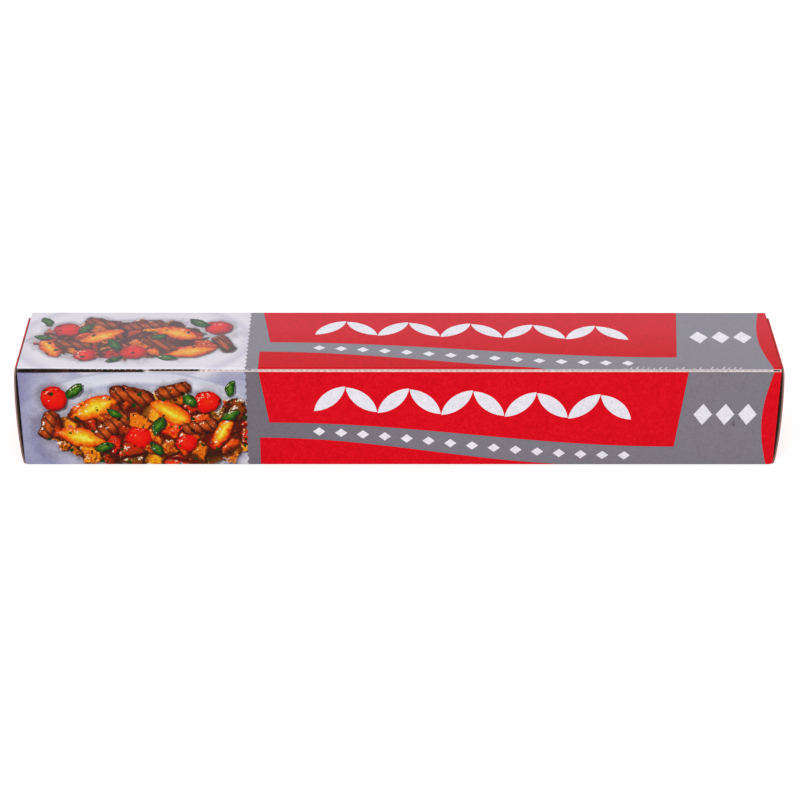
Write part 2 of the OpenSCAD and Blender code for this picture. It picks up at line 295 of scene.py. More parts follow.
inks = {  # roughness where an ink is smoothest
    "grey": {"tone": lin(134, 127, 138), "roughness": 0.39},
    "red": {"tone": lin(229, 2, 26), "roughness": 0.35},
    "white": {"tone": lin(244, 241, 250), "roughness": 0.48},
}
panels = {  # gloss of each ink on each panel; how far a painted sheen pales it at the lid's front and back
    "front": {"grey": (0.12, 0, 0), "red": (0.08, 0, 0), "white": (0.1, 0, 0), "dish": (0.1, 0, 0)},
    "lid": {"grey": (0.56, 0.02, 0.06), "red": (0.12, 0, 0.035), "white": (0.4, 0, 0),
            "dish": (0.56, 0.04, 0.06)},
    "back": {"grey": (0.2, 0, 0), "red": (0.15, 0, 0)},
    "end": {"red": (0.12, 0, 0)},
}
inkGrain = {  # share of each grain; how dark and how light the ink gets
    "cloud": 0.12, "mottle": 0.36, "speck": 0.52,
    "dark": 0.84, "light": 1.12, "lift": 0.008, "stops": (0.36, 0.5, 0.65),
}
cast = {  # where the colour changes, in the print itself or as painted shade and sheen: the colour, how much of it, from where to where
    "blue": (lin(124, 127, 138), 0.4, 0.42, 0.6),
    "shadedGrey": (lin(64, 56, 66), 0.24, 90),
    "darkerRed": (lin(150, 4, 20), (0.26, 0.16), (-24, 14)),
    "dust": (lin(205, 214, 246), (-24, 20)),
    "paper": lin(226, 221, 222), "dishPaper": lin(228, 224, 226),
}
redFields = {  # as the solids have them, in millimetres and shares of the panel's height
    "edge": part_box("front_picture_pale")[1].x / mm - 1.6,
    "start": 8, "rightBlock": 41, "slant": 4, "foot": (0.46, 0.2), "crest": (0.3, 0.0),
    "crestShare": 0.85, "trapWidth": 0.55, "trapTone": lin(90, 136, 144),
}


def heightUp(panel, y, z):  # up the print from the panel's lower edge
    return y - blank["frontBoard"] if panel == "lid" else z


def fullHeight(panel):
    return blank["depth"] if panel == "lid" else blank["wallTop"]


def falling(f, ends, share):  # a soft step between two heights
    a, b = ends
    return (f.maths("COSINE", share * math.pi) + 1) * ((a - b) / 2) + b


def trapLines(f, x, up, height):  # a thin dull line where the grey meets the red
    s = redFields
    start = s["edge"] + s["start"]
    end = blank["right"] - s["rightBlock"]
    width = end - start
    leftFoot, rightFoot = s["foot"]
    foot = falling(f, s["foot"], (x - start) / width) * height
    leftEdge = start - (up - leftFoot * height) * (s["slant"] / (1 - leftFoot) / height)
    rightEdge = end + (up - rightFoot * height) * (s["slant"] / (1 - rightFoot) / height)
    upper = (up - foot).least(x - leftEdge).least(rightEdge - x)
    fromLeft = x - (start - s["slant"])
    share = fromLeft / (s["crestShare"] * width)
    crest = falling(f, s["crest"], share.least(1.0).most(0.0)) * height
    lower = (crest - up).least(fromLeft)
    return 1 - f.rise(abs(upper.most(lower)), s["trapWidth"] * 0.6, s["trapWidth"])


# each rubbed fold: its axis, whether both ends of that axis have it, where the rubbing starts,
# where it is worst, how strong it is
folds = {
    "lid": [(1, False, blank["lidFront"] + 0.7, blank["lidFront"] + 0.1, 0.72),
            (1, False, blank["back"] - 0.7, blank["back"], 0.9),
            (0, True, blank["right"] - 0.5, blank["right"], 0.8)],
    "front": [(2, False, 1.0, 0.15, 1),
              (2, False, blank["wallTop"] - 0.35, blank["wallTop"], 0.9),
              (0, True, blank["right"] - 1.3, blank["right"] - 0.6, 0.66)],
    "end": [(2, False, blank["wallTop"] - 0.8, blank["wallTop"], 0.9),
            (2, False, 1.1, 0.2, 1),
            (1, True, blank["back"] - 1.6, blank["back"] - 0.9, 0.9)],
    "back": [(2, False, 1.4, 0.6, 1),
             (2, False, blank["wallTop"] - 0.5, blank["wallTop"], 1)],
}
rubbed = {
    "coarse": 0.55, "fine": 0.6, "from": 0.50, "to": 0.64, "share": 0.8,
    "flap": (0.66, 0.5),  # below the lid's top, where its flap turns down
}


def scuffs(f, panel, spot, axes):  # share of the ink that is rubbed off the folds
    coarse = f.grain(spot, 0.9, 4, 0.62)
    fine = f.grain(f.stretched(spot, (0.5, 1, 1)), 2.6, 3, 0.6)
    worn = []
    for axis, both, start, worst, strength in folds[panel]:
        place = abs(axes[axis]) if both else axes[axis]
        share = f.rise(place, start, worst) if start < worst else 1 - f.rise(place, worst, start)
        worn.append(share * strength)
    bare = worn[0].most(*worn[1:]) * (coarse * rubbed["coarse"] + fine * rubbed["fine"])
    return f.rise(bare, rubbed["from"], rubbed["to"]) * rubbed["share"]


# white chips that the cutter's teeth press into the fold of the lid
toothMarks = {
    "from": 90, "to": 138, "soft": 4, "pitch": 2.3, "lean": 0.6,
    "width": 0.16, "wider": 0.2, "length": -0.8, "longer": 2.6, "start": (-0.6, -0.4),
    "chosen": (0.42, 0.46), "share": 0.85,
}


def toothChips(f, axes):
    t = toothMarks
    x, y, z = axes
    climb = (z - blank["top"]) + (y - blank["lidFront"])
    place = (x - climb * t["lean"]) / t["pitch"]
    step = place.fract()
    tooth = place - step
    chance = f.grain(f.vector(tooth), 0.77, 0)  # one value for each tooth
    length = f.grain(f.vector(tooth, 9, 4), 0.9, 0) * t["longer"] + t["length"]
    band = f.rise(climb, *t["start"]) * (1 - f.rise(climb - length, 0, 0.3))
    reach = f.window(x, t["from"], t["to"], t["soft"])
    width = chance * t["wider"] + t["width"]
    chip = f.rise(step, 0.04, 0.12) * (1 - f.rise(step - width, 0, 0.08))
    return chip * band * reach * f.rise(chance, *t["chosen"]) * t["share"]


# painted shade: the front panel bows away from the lid at its left, which leaves a gap in shade,
# painted as a dark band; a second, shorter band is lens-shaped and painted on what lies behind the
# panel
gap = {
    "end": -100, "soft": 3, "taper": (-146, -116), "thinner": 0.5, "depth": 0.5,
    "lens": (-90, 12),  # middle and half length
    "edge": 0.16, "shown": (0.05, 0.25), "clear": (0.42, 0.3),
    "dark": lin(30, 20, 19), "dusty": lin(84, 58, 44),
}


def paintedGapShade(f, spot, axes, colour, lens, share=1):
    x, _, z = axes
    thin = f.rise(x, *gap["taper"])
    run = (1 - f.rise(x, gap["end"] - gap["soft"], gap["end"])) * (1 - thin * gap["thinner"])
    if lens:
        middle, half = gap["lens"]
        off = (x - middle) / half
        run = run.most(1 - off * off)
    uneven = f.grain(f.stretched(spot, (1, 0, 0)), 0.12, 3, 0.6) * 0.7 + 0.65
    depth = run.most(0) * uneven * gap["depth"]
    below = f.rise(z + depth, blank["wallTop"] - gap["edge"], blank["wallTop"] + gap["edge"])
    low, high = (blank["top"] - clear for clear in gap["clear"])
    under = 1 - f.rise(z + thin * 0.2, low, high)
    dust = f.grain(f.stretched(spot, (1, 0.6, 2)), 0.22, 3, 0.6)
    shade = f.ramp(dust, [(0.42, gap["dark"]), (0.62, gap["dusty"])])
    return f.mix(below * f.rise(depth, *gap["shown"]) * under * share, colour, shade)


def printGrains(f, spot):  # cloud, mottle and speck
    return f.grain(spot, 0.045, 3, 0.55), f.grain(spot, 0.55, 3, 0.6), f.grain(spot, 2.2, 2, 0.7)


def coatBump(f, spot, speck):
    return f.bump(f.grain(spot, 0.35, 3, 0.5) * 0.7 + speck * 0.3, 0.18, 0.00012)


def inkTone(f, panel, ink, axes, grains):
    x, y, z = axes
    cloud, mottle, speck = grains
    g = inkGrain
    tone = inks[ink]["tone"]
    dark = [c * g["dark"] for c in tone[:3]] + [1]
    light = [c * g["light"] + g["lift"] for c in tone[:3]] + [1]
    shade = mottle * g["mottle"] + speck * g["speck"] + cloud * g["cloud"]
    colour = f.ramp(shade, list(zip(g["stops"], (dark, tone, light))))
    if ink == "grey":  # its blue wanders a little
        blue, share, low, high = cast["blue"]
        colour = f.mix(f.rise(cloud * 0.6 + mottle * 0.4, low, high) * share, colour, blue)
    if ink == "grey" and panel in ("front", "lid"):
        trap = trapLines(f, x, heightUp(panel, y, z), fullHeight(panel)) * (speck * 0.5 + 0.4)
        colour = f.mix(trap, colour, redFields["trapTone"])
    if panel == "front" and ink == "grey":  # painted shade: the grey is darker beside the picture, where the front panel bows
        darkTone, share, run = cast["shadedGrey"]
        shadedBeside = 1 - f.rise(x, redFields["edge"], redFields["edge"] + run)
        colour = f.mix(shadedBeside * share, colour, darkTone)
    if panel == "lid" and ink == "red":  # and the red a little darker towards the front
        darkTone, (front, back), run = cast["darkerRed"]
        colour = f.mix(f.rise(y, *run) * (back - front) + front, colour, darkTone)
    # with the lid's painted sheen
    return dusty(f, panel, ink, y, colour)


# painted sheen: the print pales towards a bluish white, more towards the lid's back
def dusty(f, panel, ink, y, colour):
    front, back = panels[panel][ink][1:]
    if not back:
        return colour
    dust, run = cast["dust"]
    return f.mix(f.rise(y, *run) * (back - front) + front, colour, dust)


# a small dark smudge at the right of the front panel
smudge = {"place": (135, 0, 19.25), "stretch": (1.3, 0, 0.8), "uneven": 2, "edge": (0.2, 1.2),
          "tone": lin(72, 48, 52), "share": 0.75}


def smudged(f, spot, mottle, speck, colour):
    middle = [a * b for a, b in zip(smudge["place"], smudge["stretch"])]
    far = f.vectorMaths("DISTANCE", f.stretched(spot, smudge["stretch"]), middle)
    inside = 1 - f.rise(far + (mottle - 0.5) * smudge["uneven"], *smudge["edge"])
    return f.mix(inside * (speck * 0.8 + 0.4) * smudge["share"], colour, smudge["tone"])


def inkMaterial(panel, ink):
    gloss = panels[panel][ink][0]
    f = newFinish(panel + ink.title() + "Ink")
    spot = f.place()
    axes = f.axes(spot)
    grains = printGrains(f, spot)
    mottle, speck = grains[1:]
    colour = inkTone(f, panel, ink, axes, grains)
    bare = scuffs(f, panel, spot, axes)
    if panel == "lid" and ink != "white":
        low, high = (blank["top"] - below for below in rubbed["flap"])
        flap = (1 - f.rise(axes[2], low, high)) * (axes[1] < 0)
        bare = bare.most(toothChips(f, axes), flap * (speck * 0.5 + 0.5))
    colour = f.mix(bare, colour, cast["paper"])
    if panel in ("front", "lid") and ink == "grey":
        # painted shade of the gap below the lid's front edge
        colour = paintedGapShade(f, spot, axes, colour, panel == "lid")
    if panel == "front" and ink == "grey":
        colour = smudged(f, spot, mottle, speck, colour)
    roughness = mottle * 0.14 + inks[ink]["roughness"] + bare * 0.25
    return f.surface({"Base Color": colour, "Roughness": roughness, "Specular IOR Level": gloss,
                      "Normal": coatBump(f, spot, speck)})


def dressPrint():
    for panel in panels:
        for ink in inks:
            if ink in panels[panel]:
                dress(f"{panel}_{ink}_print", inkMaterial(panel, ink), ink + "_ink")


# raw board, metal and core

board = {
    "pulp": lin(196, 186, 170), "pulpDark": lin(160, 148, 130), "pulpLight": lin(216, 208, 196),
    "fibre": lin(116, 96, 76), "cutEdgeAndLit": lin(252, 232, 228), "underPrint": lin(120, 116, 124),
    "endEdgeShade": lin(138, 116, 104), "endTop": lin(226, 40, 48),
}


def boardMaterial(name, edges):
    f = newFinish(name)
    spot = f.place()
    axes = f.axes(spot)
    wisps = f.grain(f.stretched(spot, (0.35, 1, 1)), 1.6, 5, 0.7, 0.6)
    cloud = f.grain(spot, 0.12, 3, 0.6)
    colour = f.ramp(wisps * 0.7 + cloud * 0.3, [(0.3, board["pulpDark"]), (0.5, board["pulp"]),
                                                (0.72, board["pulpLight"])])
    fibre = f.grain(f.stretched(spot, (0.2, 1.4, 1.4)), 2.4, 3, 0.75, 1.5)
    colour = f.mix(f.rise(fibre, 0.66, 0.74) * 0.6, colour, board["fibre"])
    colour = edges(f, spot, axes, colour)
    return f.surface({"Base Color": colour, "Roughness": wisps * 0.12 + 0.78,
                      "Specular IOR Level": 0.25,
                      "Normal": f.bump(wisps * 0.6 + fibre * 0.4, 0.3, 0.00015)})


def trayEdges(f, spot, axes, colour):
    x, y, z = axes
    under = 1 - f.rise(z, 0.05, 0.12)  # print on the underside and round its folds
    outside = f.rise(abs(y), -blank["frontBoard"] - 0.62, -blank["frontBoard"] - 0.55)
    below = (1 - f.rise(z, 0.55, 0.62)) * outside
    colour = f.mix(under.most(below), colour, board["underPrint"])
    topEdge = f.rise(z, blank["wallTop"] - 0.04, blank["wallTop"] - 0.01)
    torn = f.rise(f.grain(f.stretched(spot, (1, 0.2, 0.2)), 0.8, 4, 0.7), 0.42, 0.6)
    colour = f.mix(topEdge * (0.5 + torn * 0.5), colour, board["cutEdgeAndLit"])
    beyond = f.rise(abs(x), blank["right"] + 0.02, blank["right"] + 0.06)  # the end flaps, darker: partly their board's own core, partly painted shade
    colour = f.mix(beyond * 0.9, colour, board["endEdgeShade"])
    frontEnd = 1 - f.rise(y, blank["front"] + 1.5, blank["front"] + 3)
    redTop = beyond * topEdge * (1 - torn * 0.3) * (1 - frontEnd)
    colour = f.mix(redTop, colour, board["endTop"])
    colour = f.mix(beyond * topEdge * frontEnd, colour, board["pulpLight"])
    nearFront = 1 - f.rise(y, blank["front"] + 1, blank["front"] + 1.5)
    # painted shade of the gap on the front panel's top edge
    return paintedGapShade(f, spot, axes, colour, False, topEdge * nearFront)


def lidEdges(f, spot, axes, colour):
    y, z = axes[1:]
    flap = 1 - f.rise(y, blank["lidFront"] + 0.2, blank["lidFront"] + 0.4)
    # painted light: the flap's raw board just below the lid's print, in shade behind the cutter's
    # teeth, is painted pale so it shows bright
    pale = flap * f.rise(z, blank["wallTop"] - 1.2, blank["wallTop"] - 0.6)
    colour = f.mix(pale, colour, board["cutEdgeAndLit"])
    # then the painted shade of the gap on the flap
    return paintedGapShade(f, spot, axes, colour, True, flap)


def stripMaterial():  # tinplate, rolled along its length
    f = newFinish("tinplate")
    spot = f.place()
    lines = f.grain(f.stretched(spot, (0.04, 1, 6)), 1.5, 4, 0.6)
    dull = f.grain(spot, 0.25, 4, 0.65)
    colour = f.ramp(lines * 0.6 + dull * 0.4, [(0.3, lin(206, 202, 204)),
                                               (0.6, lin(248, 244, 245))])
    # painted shade of the gap on the cutter strip
    colour = paintedGapShade(f, spot, f.axes(spot), colour, True)
    return f.surface({"Base Color": colour, "Metallic": 1.0, "Roughness": lines * 0.22 + 0.2,
                      "Normal": f.bump(lines, 0.25, 0.00008)})


tube = {"spiral": 64, "ply": 0.5, "seam": (0.004, 0.010), "seamTone": lin(92, 68, 46),
        "glueTone": lin(110, 84, 58)}


def coreMaterial():  # kraft tube wound in a spiral, with its seam and the glue between its plies
    f = newFinish("kraftCore")
    spot = f.place()
    x, y, z = f.axes(spot)
    low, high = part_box("core_tube")
    across, up = (a - (low[i] + high[i]) / 2 / mm for a, i in ((y, 1), (z, 2)))
    turn = (x / tube["spiral"] + f.maths("ARCTAN2", up, across) / math.tau).fract()
    seam = 1 - f.rise(abs(turn - 0.5), *tube["seam"])
    wisps = f.grain(f.stretched(spot, (0.5, 1, 1)), 1.4, 5, 0.7, 0.5)
    colour = f.ramp(wisps, [(0.3, lin(142, 112, 80)), (0.5, lin(172, 140, 104)),
                            (0.7, lin(196, 168, 132))])
    colour = f.mix(seam * 0.6, colour, tube["seamTone"])
    ply = (f.vectorMaths("LENGTH", f.vector(0, across, up)) / tube["ply"]).fract()
    ends = f.rise(abs(x), high.x / mm - 0.15, high.x / mm - 0.05)
    glue = ends * f.rise(abs(ply - 0.5), 0.3, 0.45) * 0.5
    colour = f.mix(glue, colour, tube["glueTone"])
    return f.surface({"Base Color": colour, "Roughness": wisps * 0.15 + 0.75,
                      "Specular IOR Level": 0.25,
                      "Normal": f.bump(wisps - seam * 0.8, 0.35, 0.0002)})


def foilMaterial():
    f = newFinish("foil")
    spot = f.place()
    x = f.axes(spot)[0]
    rolled = f.grain(f.stretched(spot, (1, 0.05, 0.05)), 0.7, 2, 0.5)
    facets = f.grain(f.stretched(spot, (0.05, 1, 1)), 0.13, 2, 0.45, 0.5)
    soft = f.grain(spot, 0.03, 2, 0.5)
    # painted reflection: light and dark lengthwise streaks in the base colour, like soft facets of
    # the foil
    shine = rolled * 0.16 + facets * 0.6 + soft * 0.24
    colour = f.ramp(shine, [(0.36, lin(140, 143, 149)), (0.46, lin(190, 192, 196)),
                            (0.52, lin(226, 228, 230)), (0.58, lin(184, 187, 191)),
                            (0.66, lin(232, 233, 235))])
    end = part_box("foil_roll")[1].x / mm
    ends = f.rise(abs(x), end - 0.45, end - 0.35)
    colour = f.mix(ends * 0.35, colour, lin(150, 152, 158))
    return f.surface({"Base Color": colour, "Metallic": 1.0,
                      "Roughness": rolled * 0.14 + soft * 0.2 + 0.12,
                      "Normal": f.bump(shine, 0.3, 0.0005)})


# the roll of foil and its loose end; lengths in millimetres, angles in degrees

rollShape = {
    "turnSteps": 128, "lengthCuts": 150, "ridges": 18, "ridgeDepth": 0.28,
    "crinkle": 0.11, "skin": 0.1, "sheet": 0.06, "smooth": 40,
    "looseCuts": (520, 20), "looseFrom": 95, "looseLength": 18, "looseLift": 1.5, "looseInset": 0.1,
    "looseClear": 0.05, "looseBuckle": 0.12, "looseSmooth": 50, "tooth": 2.3, "toothDepth": 0.9,
}


def rollFrame():
    low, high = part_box("foil_roll")
    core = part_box("core_tube")
    centre = Vector((0, (core[0].y + core[1].y) / 2, (core[0].z + core[1].z) / 2))
    inner = (core[1].z - core[0].z) / 2
    outer = centre.z - low.z
    return centre, inner, outer, high.x


def makeRoll():
    s = rollShape
    centre, inner, outer, end = rollFrame()
    bm = bmesh.new()
    ridge = s["ridgeDepth"] * mm
    zigzag = [(inner + (outer - inner) * i / s["ridges"], end - ridge * (i % 2))
              for i in range(s["ridges"] + 1)]
    side = [(outer, end - ridge - (2 * end - 2 * ridge) * i / s["lengthCuts"])
            for i in range(1, s["lengthCuts"])]
    outline = zigzag + side + [(r, -x) for r, x in reversed(zigzag)]
    ring = [bm.verts.new((x, centre.y, centre.z + r)) for r, x in outline]
    edges = [bm.edges.new(pair) for pair in zip(ring, ring[1:] + ring[:1])]
    bmesh.ops.spin(bm, geom=ring + edges, cent=centre, axis=(1, 0, 0), angle=math.tau,
                   steps=s["turnSteps"], use_merge=True)
    bmesh.ops.remove_doubles(bm, verts=bm.verts, dist=1e-6)
    for v in bm.verts:
        arm = Vector((0, v.co.y - centre.y, v.co.z - centre.z))
        if arm.length > outer - s["skin"] * mm:
            v.co -= arm.normalized() * dent(v.co / mm) * s["crinkle"] * mm
    bmesh.ops.recalc_face_normals(bm, faces=bm.faces)
    return smooth(meshObject("foilRoll", bm), s["smooth"])


def dent(p):  # 0 to 1, with long soft furrows and a few sharper creases
    furrow = noise.noise(Vector((p.x * 0.04, p.y * 0.3, p.z * 0.3)))
    pucker = noise.noise(Vector((p.x * 0.35, p.y * 0.12 + 7, p.z * 0.12)))
    crease = abs(noise.noise(Vector((p.x * 0.09, p.y * 0.2, p.z * 0.2 + 31))))
    return min(1, max(0, 0.4 + 0.5 * furrow + 0.4 * pucker - 0.5 * max(0, 0.25 - crease) / 0.25))


def makeLooseEnd():
    s = rollShape
    centre, _, outer, end = rollFrame()
    half = end - (s["ridgeDepth"] + s["looseInset"]) * mm
    sweep = s["looseLength"] * mm / outer
    bm = bmesh.new()
    columns, rows = s["looseCuts"]
    bmesh.ops.create_grid(bm, x_segments=columns, y_segments=rows, size=0.5)
    for v in bm.verts:
        x, t = v.co.x * 2 * half, v.co.y + 0.5
        tooth = abs((x / mm / s["tooth"]) % 1 - 0.5) * 2
        reach = t - (t ** 6) * s["toothDepth"] * mm * (1 - tooth) / (outer * sweep)
        wave = noise.noise(Vector((x / mm * 0.03, reach * 3, 3)))
        pucker = noise.noise(Vector((x / mm * 0.22, reach * 6, 9)))
        angle = math.radians(s["looseFrom"]) + sweep * reach
        lift = s["looseLift"] * reach ** 2 * (0.72 + 0.3 * wave)
        buckle = s["looseBuckle"] * pucker * min(1, 2 * reach)
        radius = outer + (s["looseClear"] + lift + buckle) * mm
        v.co = (x, centre.y + radius * math.cos(angle), centre.z + radius * math.sin(angle))
    bmesh.ops.recalc_face_normals(bm, faces=bm.faces)
    bmesh.ops.solidify(bm, geom=bm.faces, thickness=s["sheet"] * mm)
    return smooth(meshObject("looseEnd", bm), s["looseSmooth"])


def smooth(piece, angle):
    piece.data.shade_smooth()
    piece.data.set_sharp_from_angle(angle=math.radians(angle))
    return piece


# the picture fields, with roasted vegetables of no real kitchen

dishes = {
    # each piece of food: its place across and up and its length, as shares, and its angle;
    # the heap and the plate: middle and half size, across and up
    "front": {
        "width": 92,
        "tomatoes": [(0.15, 0.72, 0.25, 0), (0.51, 0.30, 0.26, 0), (0.82, 0.68, 0.24, 0),
                     (0.72, 0.24, 0.21, 0)],
        "wedges": [(0.33, 0.62, 0.52, 24), (0.66, 0.56, 0.50, -32), (0.26, 0.30, 0.48, -14),
                   (0.88, 0.36, 0.38, 62)],
        "slices": [(0.49, 0.75, 0.42, -12), (0.40, 0.43, 0.44, 40), (0.78, 0.42, 0.36, 12),
                   (0.12, 0.44, 0.33, 70), (0.67, 0.80, 0.34, 18)],
        "herbs": [(0.24, 0.80, 0.22, 40), (0.41, 0.56, 0.18, -30), (0.60, 0.42, 0.22, 64),
                  (0.74, 0.70, 0.20, -50), (0.92, 0.54, 0.18, 20), (0.36, 0.20, 0.20, 12),
                  (0.59, 0.17, 0.16, -40), (0.92, 0.82, 0.18, 70)],
        "heap": (0.60, 0.36, 0.50, 0.42),
        "plate": (0.52, 0.30, 0.60, 0.72), "seed": 3.0, "sheenHaze": 0, "dusk": 0.75,
        "depth": 1.6, "lift": 2.15,
        "cloth": [(0.3, lin(146, 146, 184)), (0.46, lin(184, 183, 206)), (0.66, lin(226, 224, 232))],
    },
    "lid": {
        "width": 92,
        "tomatoes": [(0.85, 0.72, 0.25, 0), (0.49, 0.30, 0.26, 0), (0.18, 0.68, 0.24, 0),
                     (0.28, 0.24, 0.21, 0)],
        "wedges": [(0.67, 0.62, 0.52, -24), (0.34, 0.56, 0.50, 32), (0.74, 0.30, 0.48, 14),
                   (0.12, 0.36, 0.38, -62)],
        "slices": [(0.51, 0.75, 0.42, 12), (0.60, 0.43, 0.44, -40), (0.22, 0.42, 0.36, -12),
                   (0.88, 0.44, 0.33, -70), (0.33, 0.80, 0.34, -18)],
        "herbs": [(0.76, 0.80, 0.22, -40), (0.59, 0.56, 0.18, 30), (0.40, 0.42, 0.22, -64),
                  (0.26, 0.70, 0.20, 50), (0.08, 0.54, 0.18, -20), (0.64, 0.20, 0.20, -12),
                  (0.41, 0.17, 0.16, 40), (0.08, 0.82, 0.18, -70)],
        "heap": (0.46, 0.50, 0.40, 0.34),
        "plate": (0.48, 0.48, 0.66, 0.86), "seed": 19.0, "sheenHaze": 0.4, "dusk": 0,
        "depth": 1.5, "lift": 1.2,
        "cloth": [(0.3, lin(186, 184, 206)), (0.46, lin(216, 210, 224)), (0.66, lin(240, 235, 244))],
    },
}
foods = {  # how each kind is shaped and coloured, from its middle to its rim
    "wedges": {
        "rise": 2.6, "base": 0.9, "full": 0.42,
        "tones": [(0.0, lin(250, 206, 112)), (0.2, lin(246, 186, 62)), (0.44, lin(240, 146, 32)),
                  (0.72, lin(206, 88, 18)), (1.0, lin(92, 34, 12))],
    },
    "slices": {
        "rise": 1.7, "base": 1.6, "full": 0.42,
        "tones": [(0.0, lin(196, 112, 50)), (0.5, lin(150, 70, 30)), (0.8, lin(104, 42, 20)),
                  (1.0, lin(48, 20, 12))],
    },
    "tomatoes": {
        "rise": 3.6, "base": 1.0,
        "tones": [(0.0, lin(240, 66, 30)), (0.45, lin(222, 34, 22)), (0.78, lin(170, 14, 14)),
                  (1.0, lin(92, 6, 8))],
    },
    "herbs": {
        "rise": 0.7, "base": 4.2, "full": 0.5,
        "tones": [(0.0, lin(116, 150, 60)), (0.4, lin(56, 108, 36)), (0.8, lin(28, 68, 24)),
                  (1.0, lin(14, 38, 14))],
    },
}
chunkTones = [(0.0, lin(120, 28, 12)), (0.18, lin(226, 108, 16)), (0.36, lin(150, 52, 18)),
              (0.50, lin(246, 176, 44)), (0.64, lin(214, 36, 16)), (0.80, lin(112, 84, 26)),
              (1.0, lin(242, 140, 26))]
plateTones = [(0.0, lin(206, 204, 222)), (0.70, lin(226, 225, 236)), (0.78, lin(186, 188, 212)),
              (0.84, lin(230, 229, 240)), (0.96, lin(216, 217, 232)), (1.0, lin(168, 170, 196))]
paint = {  # the other tones and lengths of both pictures
    "sheenHaze": lin(244, 232, 238), "dusk": lin(132, 128, 172), "contact": lin(96, 78, 78),
    "crevice": lin(52, 16, 10), "charred": lin(44, 20, 14), "shade": lin(34, 14, 14),
    "warm": lin(255, 214, 120), "glint": lin(255, 240, 220), "green": lin(44, 76, 24),
    "black": lin(26, 14, 12), "speckDark": lin(40, 40, 48), "speckLight": lin(250, 250, 255),
    "wobble": 3.0, "light": (-0.65, 0.75, 0), "crustLight": (-0.35, 0.4, 0),
    "grillPitch": 3.4, "duskFrom": 40, "duskTo": 4,
}


def roundGap(f, local, size):  # 0 in the middle of a piece, 1 at its rim
    return f.vectorMaths("LENGTH", local) / (size / 2)


def leafGap(f, local, size, full):
    half = size * full / 2
    radius = (size * size / 4 + half * half) / (2 * half)
    folded = f.vectorMaths("ABSOLUTE", local)
    reach = f.vectorMaths("DISTANCE", folded, (0, half - radius, 0))
    return (reach - (radius - half)) / half


def batonGap(f, local, size, full):
    folded = f.vectorMaths("ABSOLUTE", local)
    beyond = f.vectorMaths("SUBTRACT", folded, (size * (1 - full) / 2, 0, 0))
    beyond = f.vectorMaths("MAXIMUM", beyond, (0, 0, 0))
    return f.vectorMaths("LENGTH", beyond) / (size * full / 2)


def kindGap(f, kind, local, size):
    if kind == "tomatoes":
        return roundGap(f, local, size)
    shape = batonGap if kind == "slices" else leafGap
    return shape(f, local, size, foods[kind]["full"])


def oval(f, spot, middle, radii):  # 0 in its middle, 1 on its rim
    away = f.stretched(f.vectorMaths("SUBTRACT", spot, (*middle, 0)),
                       (1 / radii[0], 1 / radii[1], 0))
    return f.vectorMaths("LENGTH", away)


def landscape(f, dish, spot, height):  # how high the food lies at a place, and what lies there
    width = dish["width"]
    span = min(height, width / 2)
    gaps, domes = {}, {}
    for kind, s in foods.items():
        for across, up, share, angle in dish[kind]:
            local = f.add("Mapping", {"vector_type": "TEXTURE"}, {
                "Vector": spot, "Location": (across * width, up * height, 0),
                "Rotation": (0, 0, math.radians(angle))})
            near = kindGap(f, kind, local, share * span)
            gaps[kind] = gaps[kind].least(near) if kind in gaps else near
        inside = gaps[kind] < 1
        domes[kind] = (1 - gaps[kind] * gaps[kind]).most(0) ** 0.6 * s["rise"] + inside * s["base"]
    across, up, reachX, reachY = dish["heap"]
    far = oval(f, spot, (across * width, up * height), (reachX * width, reachY * height))
    spread = far + (f.grain(spot, 0.09, 3, 0.6) - 0.5) * 1.1
    heap = 1 - f.rise(spread, 0.86, 1.0)
    bent = f.vectorMaths("MULTIPLY_ADD", f.grain(spot, 0.3, out=1), (4, 4, 0), spot)
    cells = {"Vector": bent, "Scale": 0.12, "Randomness": 0.85}
    cell = f.add("TexVoronoi", None, cells, 1)
    edge = f.add("TexVoronoi", {"feature": "DISTANCE_TO_EDGE"}, cells)
    hump = (edge * 4).least(1) ** 0.5 * 2.4 + 0.4
    top = (hump * heap).most(*domes.values())
    return {"gaps": gaps, "domes": domes, "top": top, "heap": heap, "spread": spread,
            "cell": cell, "crevice": 1 - f.rise(edge, 0.02, 0.16), "food": f.rise(top, 0.1, 0.4)}


def layTable(f, dish, at, here):  # the cloth, the plate on it and the shade under the food
    width, height = dish["width"], at["height"]
    cloth = f.ramp(f.grain(at["seeded"], 0.035, 4, 0.55, 0.8), dish["cloth"])
    across, up, reachX, reachY = dish["plate"]
    rim = oval(f, at["flat"], (across * width, up * height), (reachX * width, reachY * height))
    ground = f.mix(1 - f.rise(rim, 0.985, 1.0), cloth, f.ramp(rim, plateTones))
    # painted sheen: the lid's cloth and plate are paled towards a pinkish white
    if dish["sheenHaze"]:
        ground = f.mix(dish["sheenHaze"], ground, paint["sheenHaze"])
    if dish["dusk"]:  # the table grows darker towards the carton's end
        low, high = blank["left"] + paint["duskTo"], blank["left"] + paint["duskFrom"]
        far = 1 - f.rise(at["x"] + at["up"] * 0.35, low, high)
        ground = f.mix(far * dish["dusk"], ground, paint["dusk"])
    gaps = here["gaps"]
    nearest = gaps["wedges"].least(gaps["slices"]).least(gaps["tomatoes"])
    under = (1 - f.rise(nearest, 1.0, 1.6)).most(1 - f.rise(here["spread"], 0.9, 1.25))
    return f.mix(under * 0.55, ground, paint["contact"])


